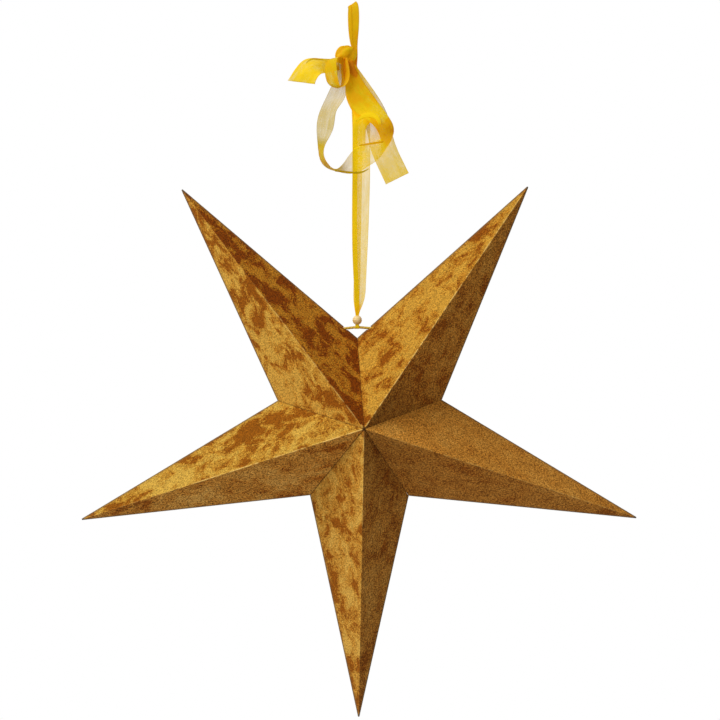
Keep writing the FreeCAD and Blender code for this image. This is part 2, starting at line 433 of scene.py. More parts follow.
@dataclass(frozen=True)
class CrushedVelvet:
    """Golden crushed velvet on card: torn blotches, fine grain, ridges with rubbing and a painted
    highlight, painted shade at the outline and near the centre, and dark joints.

    Widths and reaches are in metres. Blotches, broad ones, grain and the patches of the ridge's
    line are counted to the metre, and the strengths say how strongly the first three tell.
    """

    light: Colour = (0.617, 0.347, 0.061)
    middle: Colour = (0.503, 0.231, 0.028)
    dark: Colour = (0.29, 0.086, 0.0044)
    # The ridge's line: partly rubbing of the pile, partly a painted highlight.
    rub_and_painted_highlight: Colour = (0.97, 0.62, 0.17)
    # The outline's colour is painted shade, where the card rolls away.
    edge: Colour = (0.20, 0.125, 0.055)
    joint: Colour = (0.075, 0.026, 0.005)
    tip: Colour = (0.16, 0.125, 0.09)
    blotches: float = 52.0
    broad: float = 15.6
    grain: float = 680.0
    rub_and_highlight_patches: float = 130.0
    strengths: Three = (5.0, 1.6, 0.55)
    ridge_turn: float = 0.4 * MM
    ridge_width: float = 1.0 * MM
    edge_width: float = 1.9 * MM
    edge_shade: float = 4.5 * MM
    joint_width: float = 0.8 * MM
    speck: float = 3.0 * MM
    shaded_reach: float = 110.0 * MM

    @staticmethod
    def _line(distance: Value, width: float, strength: Any) -> Value:
        """A soft-edged line where a distance is nearly nothing."""
        return abs(distance).ease(0.3 * width, width, 1.0, 0.0) * strength

    def dress(self, point: FoldedPoint) -> bpy.types.Material:
        """Makes the velvet of one point: the pile with its painted light and shade, then the
        ridge's rubbing and painted highlight, the outline's painted shade and the joints.

        Args:
            point: The point of the star.

        Returns:
            The material.
        """
        graph = Finish("velvet_on_" + point.node)
        centred = graph.shift(graph.place(), STAR_CENTRE)
        side = graph.along(centred, beside(point.angle))
        far = graph.along(centred, spoke(point.angle))
        deep = graph.along(centred, BACK)
        which = side.ease(-self.ridge_turn, self.ridge_turn)
        before, after = point.before, point.after

        laid = graph.join(far * 0.8, side, deep + point.seed)
        torn = graph.clouds(laid, self.blotches, 6.0, 0.66, 0.5)
        broad = graph.clouds(laid, self.broad, 2.0)
        grain = graph.clouds(centred, self.grain, 1.5, 0.6)
        speckle = (grain - 0.5) * 2.0
        by_torn, by_broad, by_grain = self.strengths
        contrast = which.between(before.contrast, after.contrast)
        blotchy = ((torn - 0.5) * by_torn + (broad - 0.5) * by_broad) * contrast
        share = which.between(before.dark_share, after.dark_share)
        tone = blotchy + speckle * by_grain + 1.0 - share
        colour = graph.mix(tone.ease(-0.1, 0.5), self.dark, self.middle)
        colour = graph.mix(tone.ease(0.45, 1.15), colour, self.light)
        # Painted light and shade: each facet's multiplier also makes the whole facet lighter or
        # darker.
        tint_and_painted_light = graph.mix(which, before.tint_and_painted_light, after.tint_and_painted_light)
        colour = graph.mix(1.0, colour, tint_and_painted_light, Blend.DARKEN)
        grainy = 1.0 + speckle.ease(-0.6, 0.6, -1.0, 1.0) * which.between(before.grain, after.grain)
        # Painted shade near the star's centre, and painted light where the multiplier is above 1,
        # fading out by shaded_reach.
        dim = which.between(before.painted_centre_shade, after.painted_centre_shade)
        dim = 1.0 - (1.0 - dim) * far.ease(0.0, self.shaded_reach, 1.0, 0.0)
        shade = grainy * dim
        colour = graph.mix(1.0, colour, graph.join(shade, shade, shade), Blend.DARKEN)

        # The ridge's line: rubbing of the pile and a painted highlight along the crease, in patches
        # over the set stretch.
        reach = POINT_REACH * point.share
        first, last = point.rub_and_highlight.first * reach, point.rub_and_highlight.last * reach
        stretch = far.ease(first - 12.0 * MM, first) * far.ease(last, last + 25.0 * MM, 1.0, 0.0)
        rub_and_highlight_patches = graph.clouds(centred, self.rub_and_highlight_patches, 3.0, 0.7).ease(0.40, 0.58)
        rub_and_painted_highlight = rub_and_highlight_patches * stretch.between(0.2, 1.0) * point.rub_and_highlight.strength
        colour = graph.mix(self._line(side, self.ridge_width, rub_and_painted_highlight), colour, self.rub_and_painted_highlight)

        # Painted shade: a soft darker band towards the outline, where the card rolls away, and a
        # thin dark line along the outline itself.
        shaded = abs(deep).ease(0.0, self.edge_shade, 0.22, 0.0)
        colour = graph.mix(shaded, colour, self.edge)
        colour = graph.mix(self._line(deep, self.edge_width, 0.8), colour, self.edge)
        for valley in point.valleys:
            off = graph.along(centred, beside(valley.angle))
            colour = graph.mix(self._line(off, self.joint_width, valley.dark), colour, self.joint)
        middle = (side * side + far * far) ** 0.5
        colour = graph.mix(self._line(middle, self.speck, 0.9), colour, self.joint)
        pressed = far.ease(reach - 4.0 * MM, reach - 1.5 * MM, 0.0, 0.85)

        return graph.surface(
            Base_Color=graph.mix(pressed, colour, self.tip),
            Roughness=tone.ease(0.0, 1.0, 0.92, 0.78),
            Specular_IOR_Level=0.1,
            Sheen_Weight=0.05,
            Sheen_Roughness=0.45,
            Sheen_Tint=(1.0, 0.7, 0.3),
            Normal=graph.bump(0.6 * grain + 0.4 * torn, 0.5 * MM, 0.4),
        )


@dataclass(frozen=True)
class TwistedYarn:
    """Yellow cord of twisted strands.

    Its line rises by the slope for each metre away from the middle. A strand goes once round
    in one pitch. Its fuzz is counted to the metre.
    """

    colour: Colour = (0.80, 0.52, 0.03)
    lit: Colour = (0.90, 0.66, 0.11)
    groove_shade: Colour = (0.36, 0.19, 0.008)
    middle: Vector = field(default_factory=lambda: Vector((1.4, 0.0, -350.2)) * MM)
    slope: float = -0.09
    pitch: float = 3.4 * MM
    strands: float = 2.0
    fuzz: float = 1500.0

    def dress(self) -> bpy.types.Material:
        """Makes the cord's material, striped round its own line, with painted shade in the grooves
        between its strands.
        """
        graph = Finish("twisted_cord")
        centred = graph.shift(graph.place(), self.middle)
        run = graph.along(centred, RIGHT)
        height = graph.along(centred, UP) - abs(run) * self.slope
        turn = height.angle_over(graph.along(centred, BACK))
        twist = (turn * self.strands + run * (2.0 * math.pi / self.pitch)).sine()
        fuzz = graph.clouds(centred, self.fuzz, 3.0, 0.6)
        # Painted shade in the grooves between the strands.
        colour = graph.mix(twist.ease(-1.0, -0.2, 0.85, 0.0), self.colour, self.groove_shade)
        colour = graph.mix(fuzz.ease(0.3, 0.7, 0.0, 0.35), colour, self.lit)
        return graph.surface(
            Base_Color=colour,
            Roughness=0.62,
            Sheen_Weight=0.15,
            Normal=graph.bump(0.5 * twist + 0.3 * fuzz, 0.4 * MM, 0.7),
        )


@dataclass(frozen=True)
class PaleWood:
    """Pale varnished wood, with so many growth rings and pores to the metre."""

    pale: Colour = (1.0, 0.76, 0.33)
    grain: Colour = (0.86, 0.56, 0.2)
    rings: float = 260.0
    pores: float = 1400.0

    def dress(self) -> bpy.types.Material:
        """Makes the bead's material, with growth lines across it."""
        graph = Finish("turned_bead")
        place = graph.place()
        rings = graph.clouds(graph.stretch(place, (1.0, 1.0, 4.0)), self.rings, 3.0, 0.6, 0.8)
        pores = graph.clouds(graph.stretch(place, (1.0, 1.0, 0.2)), self.pores, 2.0)
        colour = graph.mix(rings.ease(0.38, 0.66), self.pale, self.grain)
        colour = graph.mix(pores.ease(0.55, 0.75, 0.0, 0.3), colour, self.grain)
        return graph.surface(
            Base_Color=colour,
            Roughness=rings.ease(0.3, 0.7, 0.28, 0.42),
            Coat_Weight=0.25,
            Coat_Roughness=0.15,
            Normal=graph.bump(pores, 0.1 * MM, 0.3),
        )


@dataclass(frozen=True)
class Organza:
    """Sheer golden organza, pale where single and rich where it is gathered.

    Attributes:
        single: Its colour in one layer or two.
        gathered: Its colour where it is gathered up.
        deep: Its colour in the tightest turns.
        cover: How much of what is behind it one layer hides.
        thread: The spacing of its threads.
        selvedge: The width of its close-woven edges.
        painted_glow_strength: How strongly its painted emission shows, standing in for light from
            behind.
        streaks: Streaks to the metre, along it and across it.
        mottles: Mottles to the metre, in the same way.
    """

    single: Colour = (0.60, 0.42, 0.004)
    gathered: Colour = (0.62, 0.315, 0.0006)
    deep: Colour = (0.54, 0.165, 0.0)
    cover: float = 0.73
    thread: float = 0.55 * MM
    selvedge: float = 0.7 * MM
    painted_glow_strength: float = 1.0
    streaks: Three = (22.0, 420.0, 1.0)
    mottles: Three = (70.0, 110.0, 1.0)

    def dress(self) -> bpy.types.Material:
        """Makes the ribbon's material on its own length and width."""
        graph = Finish("sheer_organza")
        surface = graph.node("ShaderNodeUVMap", uv_map=SURFACE).out()
        layers, richness, painted_glow = [graph.attribute(name) for name in MARKS]
        length = graph.along(surface, (1.0, 0.0, 0.0))
        width = graph.along(surface, (0.0, 1.0, 0.0))
        streaks = graph.clouds(graph.stretch(surface, self.streaks), 1.0, 3.0, 0.6, 0.3)
        mottles = graph.clouds(graph.stretch(surface, self.mottles), 1.0, 3.0, 0.6, 0.4)
        per_metre = 2.0 * math.pi / self.thread
        weave = (width * per_metre).sine() * (length * per_metre).sine()
        uneven = (streaks - 0.5) * 0.8 + (mottles - 0.5) * layers.ease(1.0, 3.2, 1.2, 3.0)
        half = 0.5 * RIBBON_WIDTH
        selvedge = abs(width - half).ease(half - self.selvedge, half)

        rich = richness * (1.0 + 0.6 * uneven) + 1.2 * selvedge
        colour = graph.mix(rich.ease(2.2, 4.0), self.single, self.gathered)
        colour = graph.mix(rich.ease(4.8, 7.0), colour, self.deep)
        lying = layers * (1.0 + uneven) + 1.5 * selvedge
        cover = 1.0 - (1.0 - self.cover) ** (lying.higher_of(0.25) * 0.5) + weave * 0.04
        return graph.surface(
            Base_Color=colour,
            Roughness=0.55,
            Specular_IOR_Level=0.08,
            Alpha=cover.higher_of(0.05).lower_of(1.0),
            # Painted light: an emission in the cloth's own colour, as strong as each point's mark,
            # stands in for light from behind and lifts its shaded parts.
            Emission_Color=graph.mix(painted_glow, (0.0, 0.0, 0.0), colour),
            Emission_Strength=self.painted_glow_strength,
            Normal=graph.bump(0.7 * streaks + 0.15 * weave, 0.5 * MM, 0.4),
        )


@dataclass(frozen=True)
class Station:
    """One place on a run of ribbon.

    Attributes:
        place: Its middle, in shares of the run's own scale.
        across: The direction across the ribbon there.
        spread: The share of the full width that it spreads to.
        layers: How many layers of organza lie there.
        painted_glow: How strongly the painted emission shows there, standing in for light from
            behind.
        depth: How deep its colour is for each layer.
    """

    place: Three
    across: Three
    spread: float
    layers: float
    painted_glow: float = 0.4
    depth: float = 1.0


def path(*rows: Sequence[float]) -> list[Station]:
    """Stations from rows: a place, a direction across, a spread, layers, glow and depth."""
    return [Station(row[:3], row[3:6], *row[6:]) for row in rows]


class Cloth:
    """The ribbon's mesh, with what its material reads at each point and corner."""

    def __init__(self) -> None:
        """Starts an empty mesh with its layers."""
        self.mesh = bmesh.new()
        self.mesh.loops.layers.uv.new(SURFACE)
        for name in MARKS:
            self.mesh.verts.layers.float.new(name)
        self.mesh.verts.layers.float_vector.new(OUTWARD)

    def mark(self, vertex: bmesh.types.BMVert, layers: float, richness: float, painted_glow: float) -> None:
        """Notes how many layers lie at a point, how deep its colour is and how strong its painted
        emission is.
        """
        for name, number in zip(MARKS, (layers, richness, painted_glow)):
            vertex[self.mesh.verts.layers.float[name]] = number

    def unroll(self, vertices: Sequence[bmesh.types.BMVert], spot: Callable[..., Any]) -> None:
        """Gives the corners at some points their places on the flat cloth.

        Args:
            vertices: The points.
            spot: Tells where a point lies along and across the cloth, in metres.
        """
        uv = self.mesh.loops.layers.uv[SURFACE]
        for face in {face for vertex in vertices for face in vertex.link_faces}:
            for loop in face.loops:
                loop[uv].uv = spot(loop.vert)

    def thicken(self, skin: float) -> None:
        """Gives the cloth its thickness, in the direction that each point keeps.

        Args:
            skin: The thickness, in metres.
        """
        outward = self.mesh.verts.layers.float_vector[OUTWARD]
        faces = self.mesh.faces[:]
        raised = bmesh.ops.extrude_face_region(self.mesh, geom=faces, use_keep_orig=True)
        for item in raised["geom"]:
            if isinstance(item, bmesh.types.BMVert):
                item.co += item[outward] * skin
        self.mesh.verts.layers.float_vector.remove(outward)
        bmesh.ops.recalc_face_normals(self.mesh, faces=self.mesh.faces[:])


@dataclass(frozen=True)
class Run:
    """A stretch of ribbon through a few stations.

    Attributes:
        stations: The places that it goes through.
        start: The point that the places are measured from, in metres.
        scale: The length of one share, in metres.
        folds: The sideways places that the cloth visits in turn, from -1 to 1. Two mean that
            it lies flat, and more that it lies in folds.
        fold_gap: How far each fold lies in front of the one before, in metres.
        richness: How deep its colour is for each layer.
        crinkle: How far it is crumpled, in metres.
        counted: Whether it is a length of its own, not one folded over on another run.
        steps_across: How many faces it has across its width.
        step_along: The length of its faces, in metres.
        turn_share: The share of the way from fold to fold that a turn takes.
    """

    stations: Sequence[Station]
    start: Vector = KNOT_CENTRE
    scale: float = BOW_DROP
    folds: Sequence[float] = (-1.0, 1.0)
    fold_gap: float = 0.5 * MM
    richness: float = 1.0
    crinkle: float = 0.5 * MM
    counted: bool = True
    steps_across: int = 20
    step_along: float = 1.4 * MM
    turn_share: float = 0.12

    @staticmethod
    def _smooth(marks: np.ndarray, rows: np.ndarray) -> Callable[[float], np.ndarray]:
        """A natural cubic spline through rows of numbers.

        Args:
            marks: Where along the line each row stands.
            rows: The numbers to pass through.

        Returns:
            A function from a mark to the numbers there.
        """
        gaps = np.diff(marks)
        count = len(marks)
        system = np.eye(count)
        right = np.zeros_like(rows)
        for at in range(1, count - 1):
            system[at, at - 1:at + 2] = gaps[at - 1], 2.0 * (gaps[at - 1] + gaps[at]), gaps[at]
            rise = (rows[at + 1] - rows[at]) / gaps[at] - (rows[at] - rows[at - 1]) / gaps[at - 1]
            right[at] = 6.0 * rise
        bend = np.linalg.solve(system, right)

        def read(mark: float) -> np.ndarray:
            """The numbers at a mark."""
            at = int(np.clip(np.searchsorted(marks, mark) - 1, 0, count - 2))
            gap = gaps[at]
            ahead = (mark - marks[at]) / gap
            behind = 1.0 - ahead
            curve = (behind**3 - behind) * bend[at] + (ahead**3 - ahead) * bend[at + 1]
            return behind * rows[at] + ahead * rows[at + 1] + curve * gap * gap / 6.0

        return read

    def _line(self) -> tuple[Callable[[float], np.ndarray], float, float]:
        """One smooth line of what the stations say.

        Returns:
            The line, its last mark and its length in metres. The line gives the middle, the half
            width as a vector, the layers, the glow, and the layers times the depth.
        """
        rows = []
        for station in self.stations:
            middle = self.start + Vector(station.place) * self.scale
            side = Vector(station.across).normalized() * (0.5 * RIBBON_WIDTH * station.spread)
            deep = station.layers * station.depth
            rows.append([*middle, *side, station.layers, station.painted_glow, deep])
        table = np.array(rows)
        chords = np.linalg.norm(np.diff(table[:, :3], axis=0), axis=1)
        marks = np.concatenate([[0.0], np.cumsum(np.sqrt(chords))])
        return self._smooth(marks, table), float(marks[-1]), float(chords.sum())

    def _passes(self) -> list[float]:
        """How far the cloth goes sideways from each fold to the next."""
        return [abs(two - one) for one, two in zip(self.folds, self.folds[1:])]

    def _folded(self, share: float) -> tuple[float, float]:
        """Where a share of the flat width lies after folding.

        Args:
            share: From 0 at one edge of the cloth to 1 at the other.

        Returns:
            The sideways place from -1 to 1, and how many folds forward it lies.
        """
        passes = self._passes()
        left = share * sum(passes)
        number = 0
        while number < len(passes) - 1 and left > passes[number]:
            left -= passes[number]
            number += 1
        part = min(left / passes[number], 1.0)
        sideways = self.folds[number] + (self.folds[number + 1] - self.folds[number]) * part
        turning = min(part, 1.0 - part) / self.turn_share
        forward = 0.5 * min(1.0, turning)
        height = forward if part < 0.5 else 1.0 - forward
        return sideways, number + height - 0.5 * len(passes)

    def build(self, cloth: Cloth, seed: float) -> float:
        """Adds the run to the cloth as a shaped grid.

        Args:
            cloth: The cloth that it is added to.
            seed: Where its crumples are read from.

        Returns:
            The run's length in metres, or nothing if it isn't counted.
        """
        line, last, length = self._line()
        steps = max(8, int(length / self.step_along))
        across = self.steps_across
        grid = bmesh.ops.create_grid(cloth.mesh, x_segments=steps, y_segments=across, size=0.5)
        outward = cloth.mesh.verts.layers.float_vector[OUTWARD]
        depth = max(1.0, 0.5 * sum(self._passes()))
        spots, rows = {}, {}
        for vertex in grid["verts"]:
            along, share = vertex.co.x + 0.5, vertex.co.y + 0.5
            spots[vertex] = (along * length + seed, share * RIBBON_WIDTH)
            key = round(along * steps)
            if key not in rows:
                ahead = line(min(along + 0.01, 1.0) * last) - line(max(along - 0.01, 0.0) * last)
                rows[key] = (line(along * last), Vector(ahead[:3]))
            row, ahead = rows[key]
            sideways, fold = self._folded(share)
            side = Vector(row[3:6])
            normal = ahead.cross(side).normalized()
            crumple = noise.noise(Vector((along * length * 60.0, share * 3.0, seed)))
            fine = noise.noise(Vector((along * length * 220.0, share * 9.0, seed + 7.0)))
            lift = fold * self.fold_gap + (crumple + 0.3 * fine) * self.crinkle
            vertex.co = Vector(row[:3]) + side * sideways + normal * lift
            vertex[outward] = normal
            cloth.mark(vertex, row[6] / depth, row[8] * self.richness, min(max(row[7], 0.0), 1.0))
        cloth.unroll(grid["verts"], spots.get)
        return length if self.counted else 0.0


@dataclass(frozen=True)
class Knot:
    """The hood of cloth over the knot, with folds that run from its neck down and round.

    The hanging loop leaves it along the neck's direction. Its tightest turn lies at turn_in
    from its middle, and the deep colour there goes as far as turn_reach, all in metres. Half
    the folds' depth and its lumps are shares of its size.
    """

    middle: Vector = field(default_factory=lambda: Vector((-10.8, 0.0, -57.6)) * MM)
    half_size: Vector = field(default_factory=lambda: Vector((11.9, 8.0, 11.0)) * MM)
    neck: Vector = field(default_factory=lambda: Vector((0.62, 0.0, 0.78)).normalized())
    turn_in: Vector = field(default_factory=lambda: Vector((1.5, -8.0, -9.0)) * MM)
    turn_reach: float = 5.5 * MM
    folds: float = 5.0
    dent: float = 0.075
    lump: float = 0.06
    layers: float = 8.0

    def build(self, cloth: Cloth) -> None:
        """Adds the knot to the cloth as a shaped ball.

        Args:
            cloth: The cloth that it is added to.
        """
        ball = bmesh.ops.create_uvsphere(cloth.mesh, u_segments=96, v_segments=48, radius=1.0)
        side = self.neck.cross(BACK).normalized()
        for vertex in ball["verts"]:
            out = vertex.co.normalized()
            up = out.dot(self.neck)
            turn = math.atan2(out.dot(side), -out.y)
            fold = math.sin(self.folds * turn + 1.6 * up + 1.2 * noise.noise(out * 1.1))
            dent = self.dent * (1.0 - fold) * (1.0 - up**4)
            shrink = 1.0 - dent - self.lump * noise.noise(out * 2.0)
            scaled = Vector(one * two for one, two in zip(out, self.half_size)) * shrink
            vertex.co = self.middle + scaled
            near = math.exp(-((scaled - self.turn_in).length / self.turn_reach) ** 2)
            # Painted shade and light on the folds: deeper colour in their hollows and a stronger
            # emission on their crests.
            cloth.mark(vertex, self.layers, 3.9 - 0.9 * fold + 3.0 * near, 0.3 + 0.08 * fold)

        def spot(vertex: bmesh.types.BMVert) -> tuple[float, float]:
            """Where a point lies along the neck's direction and across it."""
            place = vertex.co - self.middle
            return place.dot(self.neck), place.dot(side) + 0.5 * RIBBON_WIDTH

        cloth.unroll(ball["verts"], spot)


# The runs of the tails and the bow, in shares of the bow's drop from the knot
LEFT_TAIL = path(
    (-0.06, -0.005, -0.065, -0.1, 0, 1, 0.45, 4.5, 0.2),
    (-0.19, -0.02, -0.078, -0.2, 0.35, 1, 0.66, 3.2, 0.4, 1.2),
    (-0.272, -0.04, -0.083, -0.73, 0.6, 1, 0.95, 2.4, 0.6, 1.2),
    (-0.335, -0.06, -0.14, -1, 0.45, 0.74, 1, 3.2, 0.65),
    (-0.387, -0.07, -0.23, -1, 0.2, 0.15, 1.11, 3, 0.5),
)
LEFT_HEM = path(
    (-0.13, -0.035, -0.024, 0, 0, 1, 0.05, 2, 0.3),
    (-0.21, -0.045, -0.03, -0.1, 0, 1, 0.06, 2.5, 0.3),
    (-0.295, -0.09, -0.032, -0.5, 0, 1, 0.06, 2.5, 0.3),
    (-0.345, -0.1, -0.068, -0.8, 0, 1, 0.04, 1.5, 0.4),
)
RIGHT_TAIL = path(
    (0.035, -0.005, -0.055, 1, 0, 0.5, 0.3, 4, 0.3),
    (0.135, -0.045, -0.32, 1, -0.1, 0.54, 0.95, 1.6, 0.4),
    (0.262, -0.06, -0.55, 1, 0.1, 0.47, 1, 0.85, 0.2),
    (0.315, -0.06, -0.76, 1, 0.1, 0.35, 1, 1.1, 0.5),
    (0.405, -0.05, -0.97, 1, 0.05, 0.45, 1.01, 1.5, 0.55),
    (0.447, -0.045, -1.057, 1, 0, 0.5, 1.02, 1.9, 0.55),
)
LARGE_LOOP = path(
    (-0.036, 0.016, -0.052, -1, 0.4, 0.2, 0.3, 2.5, 0.1),
    (-0.06, 0.032, -0.282, -1, 0.78, 0.7, 0.82, 0.75, 0.25),
    (-0.145, 0.016, -0.448, -1, 0.88, 0.37, 0.83, 0.95, 0.08),
    (-0.183, -0.04, -0.619, -1, 0.83, 0.21, 0.86, 1, 0),
    (-0.209, -0.081, -0.753, -0.4, 1, 0.06, 0.88, 2.2, 0),
    (-0.216, -0.113, -0.86, -0.22, 1, 0.08, 0.92, 8, 0.16, 0.42),
    (-0.166, -0.137, -0.957, -0.18, 1, 0, 0.92, 9, 0.2, 0.42),
    (-0.091, -0.145, -0.993, -0.04, 1, 0, 0.9, 4, 0.3, 0.6),
    (-0.012, -0.145, -0.972, 0.08, 1, -0.46, 0.93, 0.9, 0.25, 0.8),
    (0.092, -0.153, -0.906, 0.1, 0.41, -1, 0.99, 0.9, 0.8),
    (0.195, -0.161, -0.859, 0.06, 0.35, -1, 0.9, 0.8, 0.7),
    (0.283, -0.17, -0.81, 0.05, 0.5, -1, 0.77, 0.9, 0.7),
    (0.33, -0.175, -0.74, 0.5, 0.9, -0.2, 0.88, 3.6, 0.75),
    (0.332, -0.161, -0.636, 0.9, 0.65, 0, 0.95, 4.4, 0.45, 1.15),
    (0.242, -0.137, -0.514, 1, 0.1, 0.16, 0.97, 2.8, 0.6, 0.8),
    (0.126, -0.11, -0.374, 1, 0, 0.54, 0.97, 3.2, 0.42),
    (0.054, -0.095, -0.21, 1, 0, 0.65, 0.67, 4.8, 0.35),
    (0.025, -0.095, -0.12, 1, 0, 0.45, 0.52, 6, 0.15, 1.6),
    (0.02, -0.085, -0.05, 1, 0, 0.3, 0.42, 7, 0.3, 1.1),
)
ARCH = path(
    (0.0435, -0.075, -0.243, 1, 0, 0, 0.45, 3.2, 0.4),
    (0.064, -0.08, -0.348, 1, 0, 0, 0.6, 3.4, 0.45),
    (0.118, -0.085, -0.45, 1, 0, 0, 0.74, 3.6, 0.55),
    (0.148, -0.09, -0.53, 1, 0, -0.2, 0.78, 3.8, 0.7, 0.8),
    (0.122, -0.095, -0.6, 1, 0, -0.1, 0.56, 2.4, 0.55),
    (0.115, -0.095, -0.68, 1, 0, 0, 0.49, 1.4, 0.5),
    (0.112, -0.095, -0.82, 1, 0, 0, 0.47, 0.6, 0.6),
)
FRONT_FOLD = path(
    (0.085, -0.15, -0.575, -0.6, 0.1, 1, 0.06, 0.8, 0.6, 0.8),
    (0.145, -0.155, -0.53, -0.35, 0.1, 1, 0.16, 2.4, 0.72, 0.6),
    (0.211, -0.16, -0.517, 0, 0.1, 1, 0.2, 2.8, 0.75, 0.5),
    (0.262, -0.165, -0.54, 0.6, 0.1, 1, 0.19, 2.6, 0.72, 0.6),
    (0.29, -0.17, -0.6, 1, 0.1, 0.4, 0.1, 1, 0.6, 0.8),
)
INNER_HEM = path(
    (0.105, -0.205, -0.787, 0, 0.3, -1, 0.05, 2.5, 0.5),
    (0.194, -0.205, -0.772, 0, 0.3, -1, 0.08, 4.5, 0.5),
    (0.315, -0.215, -0.755, 0, 0.3, -1, 0.07, 4.5, 0.5),
)
LOW_HEM = path(
    (-0.098, -0.2, -1.004, 0, 0.3, -1, 0.06, 6, 0.2, 0.5),
    (0.02, -0.2, -1.016, 0, 0.3, -1, 0.08, 6, 0.2, 0.5),
    (0.125, -0.2, -1.016, 0, 0.3, -1, 0.08, 5, 0.2, 0.5),
    (0.19, -0.2, -0.985, 0.2, 0.3, -1, 0.04, 2.5, 0.3, 0.6),
)
SMALL_LOOP = path(
    (-0.034, -0.06, -0.008, -0.5, 1, 0.15, 0.33, 4, 0.4),
    (-0.118, -0.097, -0.035, -0.85, 1, 0, 0.6, 3.2, 0.3, 0.85),
    (-0.13, -0.105, -0.152, -1, 1, 0, 0.66, 2.9, 0.32),
    (-0.102, -0.105, -0.252, -0.85, 1, 0, 0.6, 3.6, 0.3, 0.9),
    (-0.053, -0.105, -0.277, -0.4, 1, 0, 0.52, 6, 0.25, 0.6),
    (-0.007, -0.105, -0.225, -0.55, 1, 0, 0.52, 4.5, 0.3, 0.75),
    (-0.008, -0.095, -0.106, -0.75, 1, 0.1, 0.5, 5, 0.2, 1.05),
    (-0.008, -0.075, -0.015, -0.65, 1, 0.15, 0.29, 5.5, 0.3, 1.1),
)


